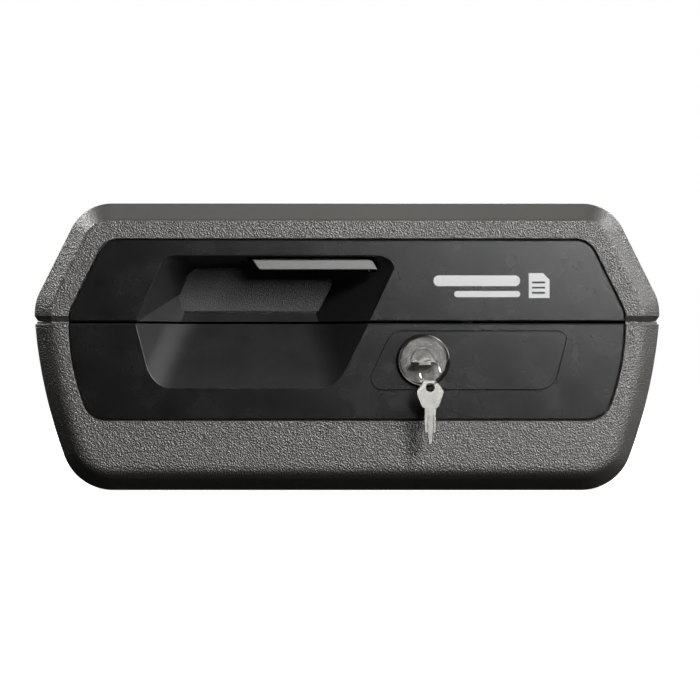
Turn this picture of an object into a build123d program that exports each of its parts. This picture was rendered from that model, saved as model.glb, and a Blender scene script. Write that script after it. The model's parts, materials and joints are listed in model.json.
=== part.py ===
from build123d import *
import math
import os

# Fire-resistant document chest: a two-part insulated clamshell with a rear hinge, a pull latch
# in a finger recess and a cam lock with a key, a split ring and a spare key.
# Millimetres. X is to the right, Y to the back, Z up. The origin is the centre of the base,
# on the surface that the chest stands on.

# ---- driving dimensions -------------------------------------------------------------------
HALF_W = 182.0          # half width at the seam
HALF_D = 161.0          # front and back faces of the shells
TOP_Z = 167.0
BASE_TOP = 96.9         # seam: top of the base
LID_LOW = 98.3          # seam: bottom of the lid
SEAM_Z = 97.7
WALL = 3.0
BEVEL_IN, BEVEL_DEEP = 10.5, 12.0
FACE_Y = -160.4         # front of the black fascia, a little behind the shell's front
PANEL_T = 3.0
LEDGE_Y = FACE_Y + PANEL_T
BULK_Y = -118.0         # front of the wall behind the latch compartment
BULK_T = 3.0
CAV_X, CAV_Y0, CAV_Y1 = 150.0, -72.0, 122.0     # storage cavity at the seam
FLOOR_Z, CEIL_Z = 30.0, 137.0
LINER = 2.5
HINGE_Y, HINGE_X = 166.0, 95.0
KNUCKLE_R, PIN_R = 4.5, 2.0
LOCK_X, LOCK_Z = 44.2, 75.6
KEY_Z = 73.9            # the keyway lies just under the plug's centre
PLUG_R, PLUG_GAP, DISC_R = 6.35, 0.05, 13.5
PLUG_FRONT = -163.6
ROD_Y, ROD_Z, ROD_R = -150.0, 139.8, 1.75
ARMS_X = (-124.0, 27.0)
KEY_T, BLADE_W, KEY_LEN, HOLE_R, HOLE_S = 1.6, 6.4, 36.0, 2.6, 4.0
RING_R, RING_WIRE = 7.0, 0.5
RING_YAW = math.radians(36.87)

MID_Y = (CAV_Y0 + CAV_Y1) / 2
parts = {}


# ---- helpers ------------------------------------------------------------------------------
def slab(face, y0, y1):
    """A sketch in X and Z, made solid from y0 back to y1."""
    return extrude(Plane.XZ.offset(-y1) * face, y1 - y0)


def side_slab(points, x0, x1):
    """A polygon of (y, z) points, made solid from x0 to x1."""
    face = make_face(Polyline([(0, y, z) for y, z in points], close=True))
    return Pos(x0, 0, 0) * extrude(face, x1 - x0, dir=(1, 0, 0))


def block(x0, x1, y0, y1, z0, z1):
    return Pos((x0 + x1) / 2, (y0 + y1) / 2, (z0 + z1) / 2) * Box(x1 - x0, y1 - y0, z1 - z0)


def rod_y(x, z, r, y0, y1):
    return Pos(x, (y0 + y1) / 2, z) * Rot(90, 0, 0) * Cylinder(r, y1 - y0)


def rod_x(y, z, r, x0, x1):
    return Pos((x0 + x1) / 2, y, z) * Rot(0, 90, 0) * Cylinder(r, x1 - x0)


def rod_z(x, y, r, z0, z1):
    return Pos(x, y, (z0 + z1) / 2) * Cylinder(r, z1 - z0)


def tray(w, d, r, z0, z1, taper=0):
    """A rounded rectangle about the storage cavity's middle, from z0 to z1."""
    face = Pos(0, MID_Y, z0) * RectangleRounded(w, d, r)
    return extrude(face, abs(z1 - z0), dir=(0, 0, 1 if z1 > z0 else -1), taper=taper)


def half_space(point, normal, size=600):
    """A large block on the side of the plane that the normal points to."""
    plane = Plane(origin=point, z_dir=normal)
    return plane * Pos(0, 0, size / 2) * Box(size, size, size)


def near(value, target, tol=0.05):
    return abs(value - target) < tol


def screw(x, y, z, direction, head_r, head_h, shank_r, length):
    """A pan-head screw with a cross slot. Its head stands on (x, y, z), shank along direction."""
    head = Pos(0, 0, -head_h / 2) * Cylinder(head_r, head_h)
    head = chamfer(head.edges().group_by(Axis.Z)[0], head_h * 0.3)
    head -= Pos(0, 0, -head_h) * (Box(head_r * 1.2, 0.8, 1.2) + Box(0.8, head_r * 1.2, 1.2))
    body = head + Pos(0, 0, length / 2) * Cylinder(shank_r, length)
    return Plane(origin=(x, y, z), z_dir=direction) * body


# ---- outlines in X and Z ------------------------------------------------------------------
def base_outline():
    """Outer outline of the base, run straight up past the seam."""
    x0, top_x, top_z = -114.3, 182.885, 122.28      # centre and top of the 297 mm side arc
    foot = x0 + math.sqrt((top_x - x0) ** 2 - top_z**2)
    face = make_face([
        Line((-foot, 0), (foot, 0)),
        ThreePointArc((foot, 0), (177.7, 67), (top_x, top_z)),
        Line((top_x, top_z), (top_x, 135)),
        Line((top_x, 135), (-top_x, 135)),
        Line((-top_x, 135), (-top_x, top_z)),
        ThreePointArc((-top_x, top_z), (-177.7, 67), (-foot, 0)),
    ])
    return fillet([v for v in face.vertices() if near(v.Y, 0)], 30)


def lid_outline():
    """Outer outline of the lid, run straight down past the seam."""
    face = make_face(Polyline(
        (-HALF_W, 70), (HALF_W, 70), (HALF_W, 109.4), (153.3, TOP_Z),
        (-153.3, TOP_Z), (-HALF_W, 109.4), close=True))
    face = fillet([v for v in face.vertices() if near(v.Y, 109.4)], 25)
    return fillet([v for v in face.vertices() if near(v.Y, TOP_Z)], 26)


def fascia_outline(grow=0.0):
    """Outline of the black front, base and lid together."""
    face = make_face([
        Line((-148.2, 41.4), (148.2, 41.4)),
        ThreePointArc((148.2, 41.4), (157.5, 70.0), (160.3, SEAM_Z)),
        Line((160.3, SEAM_Z), (160.3, 103.6)),
        Line((160.3, 103.6), (139.8, 145.1)),
        Line((139.8, 145.1), (-139.8, 145.1)),
        Line((-139.8, 145.1), (-160.3, 103.6)),
        Line((-160.3, 103.6), (-160.3, SEAM_Z)),
        ThreePointArc((-160.3, SEAM_Z), (-157.5, 70.0), (-148.2, 41.4)),
    ])
    face = fillet([v for v in face.vertices() if near(v.Y, 41.4)], 13.5)
    face = fillet([v for v in face.vertices() if near(v.Y, 145.1)], 13)
    face = fillet([v for v in face.vertices() if near(v.Y, 103.6)], 12)
    return offset(face, grow) if grow else face


def above_seam(shape):
    return shape & block(-300, 300, -300, 300, LID_LOW, 300)


def below_seam(shape):
    return shape & block(-300, 300, -300, 300, -100, BASE_TOP)


# ---- shells -------------------------------------------------------------------------------
def form(outline, inset, open_z, soft=()):
    """The solid form of one half: the outline over the whole depth, with bevelled ends.
    soft holds the radii of the two bevel edges: the one round the end, then the outer one."""
    face = offset(outline, -inset) if inset else outline
    depth = HALF_D - inset
    body = slab(face, -depth, depth)
    for sign in (-1, 1):
        end = body.faces().sort_by(Axis.Y)[0 if sign < 0 else -1]
        rim = [e for e in end.edges() if abs(e.center().Z - open_z) > 4]
        body = chamfer(rim, BEVEL_IN, BEVEL_DEEP, reference=end)
    for y, radius in zip((depth, depth - BEVEL_DEEP), soft):
        rim = [e for e in body.edges()
               if near(abs(e.center().Y), y) and near(e.bounding_box().size.Y, 0)
               and abs(e.center().Z - open_z) > 4]
        body = fillet(rim, radius)
    return body


base_solid = below_seam(form(base_outline(), 0, 135, (11, 3)))
base_inner = below_seam(form(base_outline(), WALL, 135))
lid_solid = above_seam(form(lid_outline(), 0, 70, (3, 3)))
top, low = base_solid.faces().sort_by(Axis.Z)[-1], lid_solid.faces().sort_by(Axis.Z)[0]
base_solid = fillet(top.edges(), 0.8)
lid_solid = chamfer(low.edges(), 2.0, 3.0, reference=low)
lid_inner = above_seam(form(lid_outline(), WALL, 70))

# The fascia sits in a pocket: a shallow mouth of its own outline, then a smaller, deeper box
# that holds the latch and the lock and ends at the wall in front of the insulation.
pocket = slab(fascia_outline(0.6), -170, LEDGE_Y) + slab(fascia_outline(-2), -170, BULK_Y)
pocket_block = slab(fascia_outline(2.4), -170, BULK_Y + BULK_T)


def storage_tub(grow, z0, z1, taper):
    return tray(2 * (CAV_X + grow), CAV_Y1 - CAV_Y0 + 2 * grow, 18 + grow, z0, z1, taper)


def rim(outer, inner, z0, z1):
    """A closed rib around the storage cavity, given by how far out its walls stand."""
    return storage_tub(outer, z0, z1, 0) - storage_tub(inner, z0, z1, 0)


def fill_points(half):
    return [(-half, MID_Y), (half, MID_Y)]


def ease_mouth(shell):
    """Round the edge of the fascia's pocket on the front face."""
    walls = [f for f in pocket.faces() if near(f.normal_at().Y, 0, 0.01)]
    edges = [e for e in shell.edges()
             if near(e.center().Y, -HALF_D) and near(e.bounding_box().size.Y, 0)
             and min(f.distance_to(Vertex(*(e @ 0.5))) for f in walls) < 0.01]
    return fillet(edges, 0.6)


def seam_tongue():
    """A low rib on the base's upper edge that closes the line of sight through the seam."""
    x, y = 181.8, HALF_D                 # half sizes of the base at the seam
    edge = make_face(Polyline(
        [(sx * px, sy * py) for sx, sy, px, py in (
            (1, -1, x - BEVEL_IN, y), (1, -1, x, y - BEVEL_DEEP),
            (1, 1, x, y - BEVEL_DEEP), (1, 1, x - BEVEL_IN, y),
            (-1, 1, x - BEVEL_IN, y), (-1, 1, x, y - BEVEL_DEEP),
            (-1, -1, x, y - BEVEL_DEEP), (-1, -1, x - BEVEL_IN, y))], close=True))
    rib = offset(edge, -1.3, kind=Kind.INTERSECTION) - offset(edge, -2.9, kind=Kind.INTERSECTION)
    return extrude(Pos(0, 0, BASE_TOP - 0.5) * rib, 1.6) - pocket


def make_base():
    cavity = base_inner - pocket_block
    shell = ease_mouth(base_solid - cavity - below_seam(pocket))
    shell += seam_tongue()
    foot_recess = extrude(Pos(0, 0, 0) * RectangleRounded(250, 276, 22), 1.2)
    foot_recess = chamfer(foot_recess.edges().group_by(Axis.Z)[-1], 1.0)
    shell -= foot_recess
    plugs = []
    for x, y in fill_points(60):
        shell -= rod_z(x, y, 14, 0, 5)
        plug = rod_z(x, y, 17, 0.2, 1.2) + rod_z(x, y, 14, 1.2, 3)
        plugs.append(chamfer(plug.edges().group_by(Axis.Z)[0], 0.4))

    hollow = storage_tub(0, BASE_TOP, FLOOR_Z, 5)
    hollow = fillet(hollow.edges().group_by(Axis.Z)[0], 6)
    outside = storage_tub(LINER, BASE_TOP, FLOOR_Z - LINER, 5)
    outside = fillet(outside.edges().group_by(Axis.Z)[0], 8)
    flange = cavity & block(-300, 300, -300, 300, BASE_TOP - LINER, BASE_TOP)
    liner = flange + outside - hollow + rim(9, 6, BASE_TOP, BASE_TOP + 5)
    insulation = cavity - flange - outside
    parts["base_shell"] = shell
    parts["base_liner"] = liner
    parts["base_insulation"] = insulation
    parts["base_fill_plugs"] = Compound(children=plugs)


def make_lid():
    cavity = lid_inner - pocket_block
    shell = ease_mouth(lid_solid - cavity - above_seam(pocket))
    panel = Pos(0, 0, TOP_Z - 1.2) * extrude(RectangleRounded(236, 262, 20), 3)
    shell -= chamfer(panel.edges().group_by(Axis.Z)[0], 1.0)

    hollow = storage_tub(0, LID_LOW, CEIL_Z, 8)
    hollow = fillet(hollow.edges().group_by(Axis.Z)[-1], 6)
    outside = storage_tub(LINER, LID_LOW, CEIL_Z + LINER, 8)
    outside = fillet(outside.edges().group_by(Axis.Z)[-1], 8)
    flange = cavity & block(-300, 300, -300, 300, LID_LOW, LID_LOW + LINER)
    channel = rim(12.3, 2.5, LID_LOW, 108)
    groove = rim(10.3, 4.7, LID_LOW, 106)
    liner = flange + channel + outside - hollow - groove
    filled = flange + channel + outside
    insulation = cavity - filled
    plugs = []
    for x, y in fill_points(60):
        liner -= rod_z(x, y, 14, CEIL_Z - 1, CEIL_Z + LINER)
        plugs.append(rod_z(x, y, 17, CEIL_Z - 1, CEIL_Z) + rod_z(x, y, 14, CEIL_Z, CEIL_Z + LINER))
    parts["lid_shell"] = shell
    parts["lid_liner"] = liner
    parts["lid_insulation"] = insulation
    parts["lid_gasket"] = rim(10.3, 4.7, 102.4, 106)
    parts["lid_fill_plugs"] = Compound(children=plugs)


# ---- fascia -------------------------------------------------------------------------------
# The finger recess: planes given by three points each, on the outside of the hollow.
DEEP_Y = -126.0
SLOPE = ((0, FACE_Y, 59.6), (1, FACE_Y, 59.6), (0, DEEP_Y, 103.0))
BASE_LEFT = ((-122.3, FACE_Y, 97.4), (-115.6, FACE_Y, 71.8), (-98.5, -130.8, 96.9))
BASE_RIGHT = ((13.3, FACE_Y, 98.5), (-0.1, FACE_Y, 71.8), (-16.7, -130.8, 96.9))
LID_LEFT = ((-121.8, FACE_Y, 98.3), (-106.8, FACE_Y, 132.5), (-97.9, DEEP_Y, 117.5))
LID_RIGHT = ((13.0, FACE_Y, 98.3), (24.1, FACE_Y, 122.2), (-0.8, DEEP_Y, 118.0))
CEILING = ((0, FACE_Y, 136.1), (1, FACE_Y, 136.1), (0, DEEP_Y, 130.1))
INSIDE = Vector(-50, -150, 92)


def cut_by(body, planes, grow):
    """Keep the side of each plane that holds the recess, the planes moved out by grow."""
    for three in planes:
        a, b, c = (Vector(*p) for p in three)
        normal = (b - a).cross(c - a).normalized()
        if normal.dot(INSIDE - a) > 0:
            normal = -normal
        body -= half_space(a + normal * grow, normal)
    return body


def scoop(grow, front, radius):
    body = cut_by(block(-200, 100, front, -100, 40, 110), (SLOPE, BASE_LEFT, BASE_RIGHT), grow)
    slanted = [e for e in body.edges()
               if not near(e.bounding_box().max.Y, front) and not near(e.bounding_box().min.Z, 110)]
    return below_seam(fillet(slanted, radius))


def funnel(grow, front, radius):
    planes = (SLOPE, BASE_LEFT, BASE_RIGHT, LID_LEFT, LID_RIGHT, CEILING)
    body = cut_by(block(-200, 100, front, DEEP_Y + grow, 85, 160), planes, grow)
    corners = [e for e in body.edges() if e.center().Z > 125 and e.bounding_box().size.Y > 20]
    return above_seam(fillet(corners, radius))


def window_face(grow=0.0):
    face = make_face(Polyline((-92.4, 129.2), (-101.4, 109.0), (-98.3, 104.6), (-6.2, 104.6),
                              (3.4, 129.2), close=True))
    for x, radius in ((-92.4, 9), (-101.4, 3), (-98.3, 3), (-6.2, 11), (3.4, 4)):
        face = fillet([v for v in face.vertices() if near(v.X, x)], radius)
    return offset(face, grow) if grow else face


def plate_of(face):
    """The fascia plate with its front edges eased."""
    plate = slab(face, FACE_Y, LEDGE_Y)
    front = plate.faces().sort_by(Axis.Y)[0]
    return chamfer(front.edges(), 0.7)


def ease_recess(panel):
    """Round the edge of the finger recess on the front face."""
    edges = [e for e in panel.edges()
             if near(e.center().Y, FACE_Y) and near(e.bounding_box().size.Y, 0)
             and -124 < e.center().X < 31 and 58 < e.center().Z < 138
             and not (near(e.bounding_box().size.Z, 0) and abs(e.center().Z - SEAM_Z) < 2)]
    return fillet(edges, 0.4)


def make_fascia():
    whole = fascia_outline()
    low = whole & Pos(0, BASE_TOP - 100) * Rectangle(400, 200)
    high = whole & Pos(0, LID_LOW + 100) * Rectangle(400, 200)
    base = plate_of(low) + scoop(2, FACE_Y + 2, 24) - scoop(0, FACE_Y - 2, 22)
    lid = plate_of(high) + funnel(2, FACE_Y + 2, 11) - funnel(0, FACE_Y - 2, 9)
    base, lid = ease_recess(base), ease_recess(lid)
    lid -= slab(window_face(), DEEP_Y - 1, DEEP_Y + 3)
    back = slab(window_face(-0.04), DEEP_Y + 0.3, DEEP_Y + 2)
    parts["lid_recess_back"] = back + slab(window_face(3), DEEP_Y + 2, DEEP_Y + 3.5)
    lid -= block(-58, 17, LEDGE_Y, -145, 127, 145)      # slot that the latch paddle passes

    face = make_face(Polyline((25.9, 92.5), (9.8, 58.6), (119.1, 58.6), (128.1, 92.5),
                              close=True))
    for x, radius in ((25.9, 9.5), (9.8, 6.8), (119.1, 11), (128.1, 5)):
        face = fillet([v for v in face.vertices() if near(v.X, x)], radius)
    base -= slab(offset(face, 0.5), FACE_Y - 1, FACE_Y + 1.4)
    base -= rod_y(LOCK_X, LOCK_Z, 9.55, -165, -150)
    plate = slab(face, FACE_Y - 0.2, FACE_Y + 1.4) - rod_y(LOCK_X, LOCK_Z, 9.55, -165, -150)
    front = plate.faces().sort_by(Axis.Y)[0]
    plate = chamfer(front.outer_wire().edges(), 0.3)
    parts["base_front_panel"] = base
    parts["lid_front_panel"] = lid
    parts["lock_plate"] = plate

    page = make_face(Polyline((105, 111.6), (117, 111.6), (117, 122.2), (113.2, 126),
                              (105, 126), close=True))
    for z in (114.6, 117.6, 120.6):
        page -= Pos(110.6, z) * Rectangle(7.6, 1.1)
    marks = [page, Pos(75, 121.6) * RectangleRounded(50, 6.2, 3.0),
             Pos(81, 113.9) * RectangleRounded(38, 3.6, 1.7)]
    parts["lid_badge"] = Compound(children=[slab(m, FACE_Y - 0.25, FACE_Y) for m in marks])


# ---- latch --------------------------------------------------------------------------------
def latch_bar(low_x, high_x, radius):
    """Face of the grip bar, given by the two corners and the rounding of its right end."""
    bar = make_face(Polyline((-55.2, 134.2), (-51.0, 128.1), (low_x, 128.1), (high_x, 134.2),
                             close=True))
    bar = fillet([v for v in bar.vertices() if v.Y < 129 and v.X < 0], 2.4)
    return fillet([v for v in bar.vertices() if v.Y > 134 and v.X > 0], radius)


def make_latch():
    parts["latch_rod"] = rod_x(ROD_Y, ROD_Z, ROD_R, -128, 38)
    bearings = []
    for x0 in (-120, 31):
        bearing = block(x0, x0 + 6.5, -154.5, -145.5, 135.5, 143.1)
        bearings.append(bearing - rod_x(ROD_Y, ROD_Z, ROD_R + 0.05, x0 - 1, x0 + 8))
    parts["latch_bearings"] = Compound(children=bearings)

    arms = []
    for x in ARMS_X:
        arm = side_slab([(-152.6, 138.5), (-151.6, 141.5), (-147.6, 141.5), (-138.5, 102),
                         (-138.5, 88.6), (-133.5, 86.4), (-133.5, 84.2), (-143.5, 84.2),
                         (-143.5, 101)], x - 1.5, x + 1.5)
        arm += rod_x(ROD_Y, ROD_Z, 2.9, x - 2.5, x + 2.5)
        arms.append(arm - rod_x(ROD_Y, ROD_Z, ROD_R, x - 3, x + 3))
    parts["latch_arms"] = Compound(children=arms)

    grip = slab(latch_bar(17.6, 14.4, 4.5), -156.5, -154.5)
    grip = chamfer(grip.faces().sort_by(Axis.Y)[0].edges(), 0.5)
    paddle = slab(latch_bar(14.4, 11.2, 2.4), -154.5, -148.5)
    paddle += block(-50, 10, -151.5, -148.5, 129, ROD_Z)
    paddle += rod_x(ROD_Y, ROD_Z, 2.9, -50, 10)
    paddle -= rod_x(ROD_Y, ROD_Z, ROD_R, -60, 20)
    parts["latch_grip"] = grip
    parts["latch_paddle"] = paddle

    turns, pitch, coil_r, wire = 6, 1.2, 2.55, 0.35
    helix = Helix(pitch, turns * pitch, coil_r)
    start = helix @ 0
    coil = sweep(Plane(origin=start, z_dir=helix % 0) * Circle(wire), helix)
    coil = Pos(-108.0, ROD_Y, ROD_Z) * Rot(0, 90, 0) * coil
    parts["latch_spring"] = coil

    strikes, screws = [], []
    for x in ARMS_X:
        strike = block(x - 5, x + 5, -133.1, BULK_Y, 89.0, 91.6)
        strike += block(x - 5, x + 5, -120.5, BULK_Y, 76, 91.6)
        strike = fillet(strike.edges().filter_by(Axis.X).sort_by(
            lambda e: abs(e.center().Y + 120.5) + abs(e.center().Z - 89))[0], 1.5)
        strike -= rod_y(x, 80.5, 1.5, -125, BULK_Y)
        screws.append(screw(x, -120.5, 80.5, (0, 1, 0), 2.8, 1.8, 1.5, 5.5))
        strikes.append(strike)
    parts["latch_strikes"] = Compound(children=strikes)
    parts["latch_strike_screws"] = Compound(children=screws)


# ---- lock ---------------------------------------------------------------------------------
def make_lock():
    housing = rod_y(LOCK_X, LOCK_Z, 9.5, -161, -133.4)
    flange = rod_y(LOCK_X, LOCK_Z, DISC_R, -163.2, -160.6)
    for angle in (0, 90, 180):
        flange -= Pos(LOCK_X, -163.2, LOCK_Z) * Rot(0, angle, 0) * Pos(DISC_R, 0, 0) * Box(3, 1.2, 1.2)
    housing += chamfer(flange.edges().filter_by(GeomType.CIRCLE).group_by(Axis.Y)[0], 0.5)
    collar = rod_y(LOCK_X, LOCK_Z, 7.5, -164.0, -163.2)
    housing += chamfer(collar.edges().group_by(Axis.Y)[0], 0.45)
    bore = PLUG_R + PLUG_GAP
    housing -= rod_y(LOCK_X, LOCK_Z, bore, -170, -120)
    bezel = rod_y(LOCK_X, LOCK_Z, 15.4, -163.5, -160.6)
    bezel -= rod_y(LOCK_X, LOCK_Z, DISC_R + 0.03, -170, -150)
    bezel = fillet(bezel.edges().group_by(Axis.Y)[0], 0.9)
    nut = Pos(LOCK_X, LEDGE_Y + 2, LOCK_Z) * Rot(90, 0, 0) * extrude(
        RegularPolygon(12, 6, major_radius=False), 2, both=True)
    nut -= rod_y(LOCK_X, LOCK_Z, 9.5, -170, -120)
    parts["lock_housing"] = housing
    parts["lock_bezel"] = bezel
    parts["lock_nut"] = nut

    plug = rod_y(LOCK_X, LOCK_Z, PLUG_R, PLUG_FRONT, -133.2)
    plug = chamfer(plug.edges().group_by(Axis.Y)[0], 0.4)
    plug += rod_y(LOCK_X, LOCK_Z, 3.5, -133.2, -127.8)
    slot_w, slot_t = BLADE_W / 2 + 0.05, KEY_T / 2 + 0.05
    plug -= block(LOCK_X - slot_w, LOCK_X + slot_w, -170, -143.3, KEY_Z - slot_t, KEY_Z + slot_t)
    cam = slab(make_hull((Pos(LOCK_X, LOCK_Z) * Circle(6.5)).edges()
                         + (Pos(LOCK_X, LOCK_Z + 16) * Circle(4)).edges()), -133.0, -131.0)
    cam -= rod_y(LOCK_X, LOCK_Z, 3.5, -140, -120)
    cam_nut = Pos(LOCK_X, -129.9, LOCK_Z) * Rot(90, 0, 0) * extrude(
        RegularPolygon(5, 6, major_radius=False), 1.1, both=True)
    cam_nut -= rod_y(LOCK_X, LOCK_Z, 3.5, -140, -120)
    parts["lock_plug"] = plug
    parts["lock_cam"] = cam
    parts["cam_nut"] = cam_nut

    strike = block(54, 74, -133.1, -129.5, 64.5, 69.5)
    strike += block(68, 74, -133.1, -129.5, 64.5, 112)
    strike += block(68, 74, -133.1, BULK_Y, 106, 112)
    strike += block(58, 84, -120.5, BULK_Y, 103, 121)
    screws = []
    for x in (62.5, 79.5):
        strike -= rod_y(x, 112, 1.5, -125, BULK_Y)
        screws.append(screw(x, -120.5, 112, (0, 1, 0), 2.8, 1.8, 1.5, 5.5))
    parts["lid_lock_strike"] = strike
    parts["lid_strike_screws"] = Compound(children=screws)


# ---- keys ---------------------------------------------------------------------------------
def flat_key():
    """A key on the XY plane: top of the bow at y = 0, tip at y = -KEY_LEN."""
    half = BLADE_W / 2
    bow = make_face(Polyline((-3.3, 0), (3.3, 0), (7.7, -6), (7.6, -7.6), (4.9, -14.8),
                             (half, -15.8), (-half, -15.8), (-4.9, -14.8), (-7.6, -7.6),
                             (-7.7, -6), close=True))
    bow = fillet([v for v in bow.vertices() if v.Y > -10], 0.8)
    blade = make_face(Polyline((-half, -15.8), (half, -15.8), (half, -28.4), (half - 0.7, -29.6),
                               (1.3, -29.6), (1.3, -31), (0.7, -KEY_LEN), (-0.7, -KEY_LEN),
                               (-1.3, -31), (-1.3, -29.6), (0.7 - half, -29.6),
                               (-half, -28.4), close=True))
    flat = bow + blade - Pos(0, -HOLE_S) * Circle(HOLE_R)
    body = extrude(flat, KEY_T / 2, both=True)
    for x in (-1.65, 1.65):
        for z in (-KEY_T / 2, KEY_T / 2):
            body -= Pos(x, -25, z) * Box(0.7, 10.4, 1.1)
    return body


def make_keys():
    hole = Vector(LOCK_X, PLUG_FRONT - 0.3 - 15.8 + HOLE_S, KEY_Z)
    key_plane = Plane(origin=(LOCK_X, hole.Y - HOLE_S, KEY_Z), x_dir=(1, 0, 0), z_dir=(0, 0, -1))
    parts["key"] = key_plane * flat_key()

    along = Vector(math.cos(RING_YAW), -math.sin(RING_YAW), 0)
    across = Vector(math.sin(RING_YAW), math.cos(RING_YAW), 0)
    strip = hole + along * (HOLE_R + 1.2)
    centre = strip + along * 0.2 - Vector(0, 0, 5.25)
    ring = Plane(origin=centre, x_dir=along, z_dir=across) * Torus(RING_R, RING_WIRE)
    lean = math.radians(32)
    bead = centre + along * (RING_R * math.sin(lean)) - Vector(0, 0, RING_R * math.cos(lean))
    ring += Pos(*bead) * Sphere(1.05)
    parts["key_ring"] = ring

    low = centre - Vector(0, 0, RING_R)
    yaw = math.radians(10)
    facing = Plane(origin=low - Vector(0, 0, 1.5) + Vector(0, 0, HOLE_S),
                   x_dir=(math.cos(yaw), math.sin(yaw), 0), z_dir=(math.sin(yaw), -math.cos(yaw), 0))
    parts["spare_key"] = facing * flat_key()


# ---- hinges -------------------------------------------------------------------------------
def make_hinges():
    spans = [(-26, -15.8), (-15.5, -5.3), (-5.0, 5.0), (5.3, 15.5), (15.8, 26)]
    base_leaves, lid_leaves, pins, base_screws, lid_screws = [], [], [], [], []
    for side in (-HINGE_X, HINGE_X):
        base = block(side - 26, side + 26, HALF_D, HALF_D + 2.5, 66, SEAM_Z)
        lid = block(side - 26, side + 26, HALF_D, HALF_D + 2.5, SEAM_Z, 131)
        for index, (x0, x1) in enumerate(spans):
            knuckle = rod_x(HINGE_Y, SEAM_Z, KNUCKLE_R, side + x0, side + x1)
            room = rod_x(HINGE_Y, SEAM_Z, KNUCKLE_R + 0.6, side + x0 - 0.3, side + x1 + 0.3)
            if index % 2:
                lid, base = lid + knuckle, base - room
            else:
                base, lid = base + knuckle, lid - room
        base -= block(side - 30, side + 30, HALF_D - 1, HINGE_Y - KNUCKLE_R + 0.2, BASE_TOP, 105)
        lid -= block(side - 30, side + 30, HALF_D - 1, HINGE_Y - KNUCKLE_R + 0.2, 90, LID_LOW)
        base -= rod_x(HINGE_Y, SEAM_Z, PIN_R, side - 30, side + 30)
        lid -= rod_x(HINGE_Y, SEAM_Z, PIN_R + 0.05, side - 30, side + 30)
        pin = rod_x(HINGE_Y, SEAM_Z, PIN_R, side - 26, side + 26)
        for end, x in ((-1, side - 26), (1, side + 26)):
            pin += rod_x(HINGE_Y, SEAM_Z, 3.0, min(x, x + end * 1.4), max(x, x + end * 1.4))
        for x in (side - 17, side, side + 17):
            for leaf, screws, z in (("base", base_screws, 76), ("lid", lid_screws, 120)):
                hole = rod_y(x, z, 1.6, HALF_D - 1, HALF_D + 3)
                if leaf == "base":
                    base -= hole
                else:
                    lid -= hole
                screws.append(screw(x, HALF_D + 2.5, z, (0, -1, 0), 3.2, 1.8, 1.6, 5.5))
        base_leaves.append(base)
        lid_leaves.append(lid)
        pins.append(pin)
    parts["hinge_base_leaves"] = Compound(children=base_leaves)
    parts["hinge_lid_leaves"] = Compound(children=lid_leaves)
    parts["hinge_pins"] = Compound(children=pins)
    parts["hinge_base_screws"] = Compound(children=base_screws)
    parts["hinge_lid_screws"] = Compound(children=lid_screws)
    for x in (-HINGE_X, HINGE_X):
        for dx in (-17, 0, 17):
            parts["base_shell"] -= rod_y(x + dx, 76, 1.6, 150, 165)
            parts["lid_shell"] -= rod_y(x + dx, 120, 1.6, 150, 165)


def drill_bulkheads():
    """Holes for the strike screws in the walls behind the latch compartment."""
    for x in ARMS_X:
        parts["base_shell"] -= rod_y(x, 80.5, 1.5, BULK_Y - 1, BULK_Y + BULK_T)
    for x in (62.5, 79.5):
        parts["lid_shell"] -= rod_y(x, 112, 1.5, BULK_Y - 1, BULK_Y + BULK_T)


make_base()
make_lid()
make_fascia()
make_latch()
make_lock()
make_keys()
make_hinges()
drill_bulkheads()

os.makedirs("parts", exist_ok=True)
for name, shape in parts.items():
    shape.label = name
    export_step(shape, f"parts/{name}.step")
    print(name, len(shape.solids()), shape.is_valid, round(shape.volume))
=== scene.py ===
import json
import math
import bmesh
import bpy
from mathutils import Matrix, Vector

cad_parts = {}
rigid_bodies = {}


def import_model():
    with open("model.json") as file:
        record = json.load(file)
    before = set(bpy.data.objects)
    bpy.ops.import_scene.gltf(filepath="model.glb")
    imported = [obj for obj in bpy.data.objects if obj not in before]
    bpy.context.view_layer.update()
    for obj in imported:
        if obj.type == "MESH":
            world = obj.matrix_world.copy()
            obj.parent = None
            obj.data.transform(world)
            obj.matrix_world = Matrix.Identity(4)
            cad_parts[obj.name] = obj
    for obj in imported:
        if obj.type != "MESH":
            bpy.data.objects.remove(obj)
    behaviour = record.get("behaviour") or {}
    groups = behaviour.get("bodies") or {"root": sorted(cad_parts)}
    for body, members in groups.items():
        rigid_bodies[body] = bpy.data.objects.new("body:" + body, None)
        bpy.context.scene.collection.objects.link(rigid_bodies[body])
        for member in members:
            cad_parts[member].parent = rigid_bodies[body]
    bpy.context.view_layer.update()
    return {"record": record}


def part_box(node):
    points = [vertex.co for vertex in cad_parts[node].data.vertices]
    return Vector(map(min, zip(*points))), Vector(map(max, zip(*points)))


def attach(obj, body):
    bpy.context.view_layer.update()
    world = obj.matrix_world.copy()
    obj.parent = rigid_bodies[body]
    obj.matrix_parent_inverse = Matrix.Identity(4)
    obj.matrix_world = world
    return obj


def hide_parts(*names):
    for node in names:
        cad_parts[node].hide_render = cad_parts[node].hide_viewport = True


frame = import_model()


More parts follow.
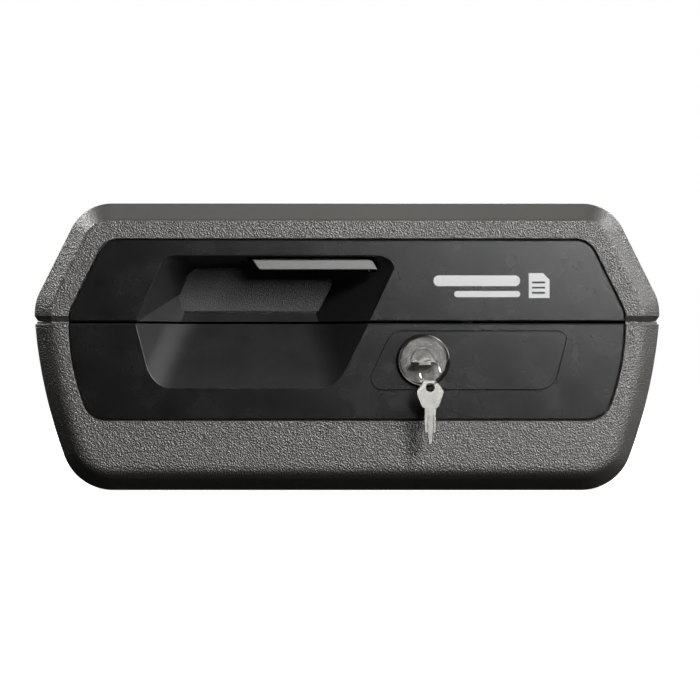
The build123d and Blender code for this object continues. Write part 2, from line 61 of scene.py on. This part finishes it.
# ---- material helpers ---------------------------------------------------------------------
class Nodes:
    """A short way to build one Principled material."""

    def __init__(self, name, color, rough, metallic=0.0, specular=0.5):
        self.mat = bpy.data.materials.new(name)
        self.mat.use_nodes = True
        self.tree = self.mat.node_tree
        self.bsdf = self.tree.nodes["Principled BSDF"]
        self.bsdf.inputs["Base Color"].default_value = (*color, 1)
        self.bsdf.inputs["Roughness"].default_value = rough
        self.bsdf.inputs["Metallic"].default_value = metallic
        self.bsdf.inputs["Specular IOR Level"].default_value = specular
        self.mat.diffuse_color = (*color, 1)
        coords = self.tree.nodes.new("ShaderNodeTexCoord")
        self.place, self.normal = coords.outputs["Object"], coords.outputs["Normal"]

    def add(self, kind, **inputs):
        node = self.tree.nodes.new(kind)
        for key, value in inputs.items():
            socket = node.inputs[key.replace("_", " ")]
            if isinstance(value, bpy.types.NodeSocket):
                self.tree.links.new(value, socket)
            else:
                socket.default_value = value
        return node

    def math(self, operation, a, b=None, clamp=False):
        node = self.tree.nodes.new("ShaderNodeMath")
        node.operation, node.use_clamp = operation, clamp
        for index, value in enumerate((a, b)):
            if isinstance(value, bpy.types.NodeSocket):
                self.tree.links.new(value, node.inputs[index])
            elif value is not None:
                node.inputs[index].default_value = value
        return node.outputs[0]

    def noise(self, scale, detail=2.0, rough=0.5):
        node = self.add("ShaderNodeTexNoise", Vector=self.place, Scale=scale, Detail=detail,
                        Roughness=rough)
        return node.outputs[0]

    def cells(self, scale):
        node = self.tree.nodes.new("ShaderNodeTexVoronoi")
        node.feature = "SMOOTH_F1"
        self.tree.links.new(self.place, node.inputs["Vector"])
        node.inputs["Scale"].default_value = scale
        node.inputs["Randomness"].default_value = 1.0
        return node.outputs["Distance"]

    def spread(self, value, low, high, to_low, to_high):
        node = self.add("ShaderNodeMapRange", Value=value)
        for key, number in (("From Min", low), ("From Max", high),
                            ("To Min", to_low), ("To Max", to_high)):
            node.inputs[key].default_value = number
        return node.outputs["Result"]

    def tint(self, value, dark, light):
        """Base colour between two colours, by value."""
        ramp = self.add("ShaderNodeValToRGB", Fac=value)
        ramp.color_ramp.elements[0].color = (*dark, 1)
        ramp.color_ramp.elements[1].color = (*light, 1)
        self.tree.links.new(ramp.outputs["Color"], self.bsdf.inputs["Base Color"])

    def roughness(self, value):
        self.tree.links.new(value, self.bsdf.inputs["Roughness"])

    def bump(self, height, distance):
        node = self.add("ShaderNodeBump", Height=height, Distance=distance, Strength=1.0)
        self.tree.links.new(node.outputs["Normal"], self.bsdf.inputs["Normal"])


def shell_material():
    """Warm dark grey plastic: coarse pebble on every upright side, fine grain elsewhere."""
    m = Nodes("shell_pebble", (0.10, 0.095, 0.085), 0.42, specular=0.75)
    split = m.add("ShaderNodeSeparateXYZ", Vector=m.normal)
    upright = m.spread(m.math("ABSOLUTE", split.outputs["Z"]), 0.35, 0.65, 1.0, 0.0)
    pebble = m.math("ADD", m.cells(1150), m.math("MULTIPLY", m.noise(1500, 2.0), 0.9))
    fine = m.noise(2400, 2.0, 0.6)
    height = m.math("ADD", m.math("MULTIPLY", m.math("MULTIPLY", pebble, upright), 0.85),
                    m.math("ADD", m.math("MULTIPLY", fine, 0.10),
                           m.math("MULTIPLY", m.noise(260, 3.0), 0.10)))
    m.bump(height, 0.0007)
    tone = m.math("ADD", m.math("MULTIPLY", m.noise(9, 3.0), 0.35),
                  m.math("MULTIPLY", m.math("MULTIPLY", pebble, upright), 0.55))
    m.tint(tone, (0.062, 0.059, 0.053), (0.150, 0.143, 0.129))
    m.roughness(m.spread(m.noise(420, 2.0), 0.3, 0.7, 0.30, 0.40))
    return m.mat


def satin_material(name, dark, light, rough, grain=2400, depth=0.00012):
    """Moulded plastic with a fine even grain and a little unevenness in its gloss."""
    m = Nodes(name, light, rough)
    m.tint(m.noise(14, 3.0), dark, light)
    m.bump(m.noise(grain, 2.0, 0.6), depth)
    m.roughness(m.spread(m.noise(60, 3.0), 0.3, 0.7, rough - 0.05, rough + 0.05))
    return m.mat


def fascia_material():
    """Black satin plastic: smooth on the flat front, duller on the walls of the finger recess, which
    also get a lighter painted colour that stands in for the light they catch.
    """
    m = Nodes("fascia_satin", (0.006, 0.006, 0.006), 0.26)
    split = m.add("ShaderNodeSeparateXYZ", Vector=m.normal)
    flat = m.spread(m.math("ABSOLUTE", split.outputs["Y"]), 0.88, 0.99, 0.0, 1.0)
    painted_wall_light_and_dullness = m.math("SUBTRACT", 1.0, flat)
    # painted light: the recess walls and edges are given a lighter colour than the flat front,
    # standing in for the light falling on them
    tone = m.math("ADD", m.math("MULTIPLY", m.noise(14, 3.0), 0.3), m.math("MULTIPLY", painted_wall_light_and_dullness, 0.7))
    m.tint(tone, (0.0030, 0.0030, 0.0031), (0.014, 0.014, 0.0142))
    m.bump(m.noise(1500, 2.0, 0.6), 0.00010)
    m.roughness(m.math("ADD", m.spread(m.noise(60, 3.0), 0.3, 0.7, 0.23, 0.29),
                       m.math("MULTIPLY", painted_wall_light_and_dullness, 0.17)))
    return m.mat


def metal_material(name, color, rough, worn=0.82, uneven=0.06, depth=0.00002):
    """Plated metal with faint wear in its colour and gloss."""
    m = Nodes(name, color, rough, metallic=1.0)
    m.tint(m.noise(180, 4.0), tuple(c * worn for c in color), color)
    m.roughness(m.spread(m.noise(500, 2.0), 0.3, 0.7, rough - uneven, rough + uneven))
    m.bump(m.noise(1500, 3.0), depth)
    return m.mat


def cast_material():
    m = Nodes("mineral_fill", (0.55, 0.53, 0.48), 0.9)
    m.tint(m.noise(45, 5.0), (0.42, 0.40, 0.36), (0.62, 0.60, 0.55))
    m.bump(m.noise(320, 6.0, 0.7), 0.0006)
    return m.mat


by_slot = {
    "shell_plastic": shell_material(),
    "liner_plastic": satin_material("liner_grain", (0.055, 0.055, 0.056), (0.085, 0.085, 0.086),
                                    0.55, 1500, 0.0003),
    "insulation": cast_material(),
    "plug_plastic": satin_material("plug_grain", (0.06, 0.058, 0.053), (0.09, 0.087, 0.08), 0.55,
                                   1500, 0.0003),
    "fascia_plastic": fascia_material(),
    "recess_plastic": satin_material("recess_grain", (0.016, 0.016, 0.016),
                                     (0.028, 0.028, 0.028), 0.55, 1700, 0.0004),
    "mark_print": satin_material("mark_white", (0.88, 0.88, 0.88), (0.94, 0.94, 0.94), 0.40),
    "seal_rubber": satin_material("seal_rubber", (0.012, 0.012, 0.012), (0.022, 0.022, 0.022), 0.75),
    "latch_plastic": satin_material("latch_satin", (0.014, 0.014, 0.014), (0.022, 0.022, 0.022),
                                    0.45),
    "grip_plastic": satin_material("grip_satin", (0.27, 0.27, 0.265), (0.32, 0.32, 0.315), 0.40),
    "steel": metal_material("zinc_steel", (0.52, 0.52, 0.54), 0.32),
    "spring_steel": metal_material("spring_steel", (0.42, 0.42, 0.44), 0.28),
    "hinge_steel": satin_material("hinge_coat", (0.018, 0.018, 0.019), (0.03, 0.03, 0.031), 0.42,
                                  1200, 0.0002),
    "lock_chrome": metal_material("lock_chrome", (0.74, 0.73, 0.70), 0.20, 0.92, 0.03),
    "lock_black": satin_material("lock_gloss", (0.008, 0.008, 0.008), (0.012, 0.012, 0.012), 0.18,
                                 600, 0.00003),
    "key_metal": metal_material("key_nickel", (0.60, 0.585, 0.56), 0.25, 0.94, 0.02, 0.000001),
}
for part in frame["record"]["subparts"]:
    obj = bpy.data.objects[part["node"]]
    obj.data.materials.clear()
    obj.data.materials.append(by_slot[part["material_slot"]])


# ---- pieces and edges ---------------------------------------------------------------------
def split_ring():
    """Two close turns of round wire with a jog between them, in place of the plain ring."""
    low, high = (Vector(corner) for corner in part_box("key_ring"))
    middle, size = (low + high) / 2, high - low
    wire = 0.00025
    radius = size.z / 2 - 2 * wire
    along = Vector((size.x - 4 * wire, 4 * wire - size.y, 0)).normalized()
    across = Vector((-along.y, along.x, 0))
    steps, sides, turns = 360, 12, 2
    mesh = bmesh.new()
    rings = []
    for i in range(steps + 1):
        part = i / steps
        angle = math.radians(55) + part * turns * math.tau
        jog = min(max((part - 0.46) / 0.08, 0), 1)
        side = wire * (2 * jog * jog * (3 - 2 * jog) - 1)
        end = min(i, steps - i)
        thin = wire * min(1.0, 0.55 + 0.15 * end)
        out = along * math.cos(angle) + Vector((0, 0, 1)) * math.sin(angle)
        centre = middle + out * radius + across * side
        rings.append([mesh.verts.new(centre + thin * (out * math.cos(t) + across * math.sin(t)))
                      for t in (k * math.tau / sides for k in range(sides))])
    for a, b in zip(rings, rings[1:]):
        for k in range(sides):
            mesh.faces.new((a[k], a[(k + 1) % sides], b[(k + 1) % sides], b[k]))
    mesh.faces.new(rings[0])
    mesh.faces.new(rings[-1][::-1])
    bmesh.ops.recalc_face_normals(mesh, faces=mesh.faces)
    for face in mesh.faces:
        face.smooth = len(face.verts) == 4
    data = bpy.data.meshes.new("split_ring")
    mesh.to_mesh(data)
    mesh.free()
    ring = bpy.data.objects.new("split_ring", data)
    bpy.context.collection.objects.link(ring)
    data.materials.append(by_slot["key_metal"])
    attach(ring, "ring")
    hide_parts("key_ring")


def ease_edges(node, width):
    """Round a CAD node's sharp edges by a small bevel modifier."""
    bevel = bpy.data.objects[node].modifiers.new("eased_edges", "BEVEL")
    bevel.width, bevel.segments = width, 2
    bevel.limit_method, bevel.angle_limit = "ANGLE", math.radians(40)


split_ring()
for node, width in (("key", 0.00014), ("spare_key", 0.00014), ("hinge_base_leaves", 0.0003),
                    ("hinge_lid_leaves", 0.0003), ("lid_lock_strike", 0.0003),
                    ("latch_arms", 0.0003)):
    ease_edges(node, width)


# ---- stage --------------------------------------------------------------------------------
def floor():
    mesh = bpy.data.meshes.new("stage_floor")
    low = -0.0004        # a hair under the chest, so that the two faces don't coincide
    mesh.from_pydata([(-4, -4, low), (4, -4, low), (4, 5, low), (-4, 5, low)], [], [(0, 1, 2, 3)])
    obj = bpy.data.objects.new("stage_floor", mesh)
    bpy.context.collection.objects.link(obj)
    m = Nodes("stage_white", (0.9, 0.9, 0.9), 0.9, specular=0.0)
    m.bsdf.inputs["Emission Color"].default_value = (1, 1, 1, 1)
    m.bsdf.inputs["Emission Strength"].default_value = 0.93
    mesh.materials.append(m.mat)
    obj.visible_diffuse = obj.visible_glossy = False


def light(name, place, aim, size, power, gloss_only=False):
    """A square lamp at place, turned to aim. A gloss-only lamp adds no diffuse light."""
    data = bpy.data.lights.new(name, "AREA")
    data.energy, data.size = power, size
    obj = bpy.data.objects.new(name, data)
    obj.location = place
    obj.rotation_euler = (Vector(aim) - Vector(place)).to_track_quat("-Z", "Y").to_euler()
    obj.visible_diffuse = not gloss_only
    bpy.context.collection.objects.link(obj)


def world():
    w = bpy.data.worlds.new("studio")
    bpy.context.scene.world = w
    w.use_nodes = True
    tree = w.node_tree
    sky = tree.nodes["Background"]
    coords = tree.nodes.new("ShaderNodeTexCoord")
    split = tree.nodes.new("ShaderNodeSeparateXYZ")
    rise = tree.nodes.new("ShaderNodeMapRange")
    for key, number in (("From Min", -0.1), ("From Max", 0.9), ("To Min", 0.02), ("To Max", 0.12)):
        rise.inputs[key].default_value = number
    tree.links.new(coords.outputs["Generated"], split.inputs[0])
    tree.links.new(split.outputs["Z"], rise.inputs["Value"])
    tree.links.new(rise.outputs["Result"], sky.inputs["Strength"])
    back = tree.nodes.new("ShaderNodeBackground")
    back.inputs["Strength"].default_value = 1.0
    seen = tree.nodes.new("ShaderNodeLightPath")
    mix = tree.nodes.new("ShaderNodeMixShader")
    tree.links.new(seen.outputs["Is Camera Ray"], mix.inputs["Fac"])
    tree.links.new(sky.outputs[0], mix.inputs[1])
    tree.links.new(back.outputs[0], mix.inputs[2])
    tree.links.new(mix.outputs[0], tree.nodes["World Output"].inputs["Surface"])
    sky.inputs["Color"].default_value = (1, 1, 1, 1)
    back.inputs["Color"].default_value = (1, 1, 1, 1)


def camera():
    data = bpy.data.cameras.new("camera")
    data.sensor_width, data.lens = 36, 124.7
    data.clip_end = 30
    obj = bpy.data.objects.new("camera", data)
    obj.location = (0.00175, -1.561, 0.0816)
    obj.rotation_euler = (math.radians(90), 0, 0)
    bpy.context.collection.objects.link(obj)
    bpy.context.scene.camera = obj


floor()
world()
camera()
light("key_high", (0.60, -1.14, 0.80), (0.05, -0.12, 0.08), 0.25, 14)
light("sheen_right", (0.46, -1.40, 0.55), (0.1, -0.16, 0.1), 0.5, 19, gloss_only=True)
light("side_front", (1.00, -0.75, 0.40), (-0.1, -0.14, 0.1), 0.35, 13, gloss_only=True)
light("side_left", (-1.05, 0.5, 1.0), (-0.17, -0.1, 0.12), 0.5, 14)
light("side_right", (1.05, 0.5, 1.0), (0.17, -0.1, 0.12), 0.5, 10)
light("back_fill", (0.35, 1.5, 0.8), (0, 0.1, 0.1), 0.8, 9)
light("top", (0.0, 0.0, 1.35), (0, 0, 0.1), 0.7, 1.1)
bpy.context.scene.view_settings.view_transform = "Standard"
